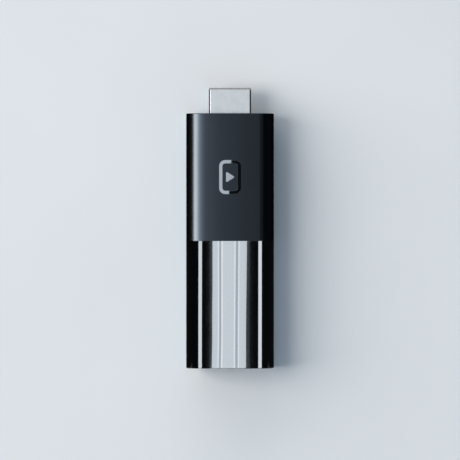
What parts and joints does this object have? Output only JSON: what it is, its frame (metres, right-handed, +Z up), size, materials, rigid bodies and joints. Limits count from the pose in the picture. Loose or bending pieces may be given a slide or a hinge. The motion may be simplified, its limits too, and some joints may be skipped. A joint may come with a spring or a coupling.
{
  "type": "streaming media player",
  "caption": "Slim media stick that plugs into a screen's video port: half matte and half gloss casing, metal video plug at one end, power socket at the other.",
  "frame": {"origin": "on the surface it lies on, under the centre of the overall footprint, plug included", "axes": "+X across the stick, +Y along it towards the video plug, +Z up through the crowned front face that carries the badge"},
  "size_m": [0.0288, 0.0924, 0.0153],
  "materials": {
    "matte_shell": "matte",
    "gloss_shell": "gloss",
    "badge_metal": "polished",
    "badge_glue": "satin",
    "frame_plastic": "satin",
    "board_laminate": "satin",
    "screw_steel": "nickel-plated",
    "spreader_sheet": "bent sheet, mill finish",
    "silicone_pad": "soft matte",
    "processor_pad": "soft matte",
    "shield_tin": "tin-plated sheet",
    "chip_mould": "moulded package",
    "ferrite": "matte",
    "capacitor_ceramic": "satin",
    "resistor_glaze": "gloss",
    "crystal_can": "metal lid",
    "fuse_body": "matte",
    "antenna_metal": "plated spring sheet",
    "plug_steel": "satin",
    "socket_steel": "nickel-plated",
    "connector_plastic": "moulded",
    "contact_gold": "gold-plated"
  },
  "bodies": {
    "root": {"matte_housing": "matte_shell", "gloss_housing": "gloss_shell", "badge": "badge_metal", "badge_adhesive": "badge_glue", "inner_frame": "frame_plastic", "circuit_board": "board_laminate", "board_screws": "screw_steel", "front_heat_spreader": "spreader_sheet", "back_heat_spreader": "spreader_sheet", "processor_thermal_pad": "processor_pad", "front_thermal_pad": "silicone_pad", "back_thermal_pad": "silicone_pad", "shield_fence": "shield_tin", "shield_lid": "shield_tin", "radio_shield": "shield_tin", "main_processor": "chip_mould", "memory_chips": "chip_mould", "flash_storage": "chip_mould", "radio_chip": "chip_mould", "power_controller": "chip_mould", "power_inductors": "ferrite", "bulk_capacitors": "capacitor_ceramic", "ceramic_capacitors": "capacitor_ceramic", "chip_resistors": "resistor_glaze", "clock_crystals": "crystal_can", "surge_arrays": "chip_mould", "signal_chokes": "ferrite", "input_fuse": "fuse_body", "wifi_antenna": "antenna_metal", "short_range_antenna": "antenna_metal", "plug_shell": "plug_steel", "plug_insulator": "connector_plastic", "plug_upper_contacts": "contact_gold", "plug_lower_contacts": "contact_gold", "socket_shell": "socket_steel", "socket_insulator": "connector_plastic", "socket_contacts": "contact_gold"}
  },
  "joints": []
}
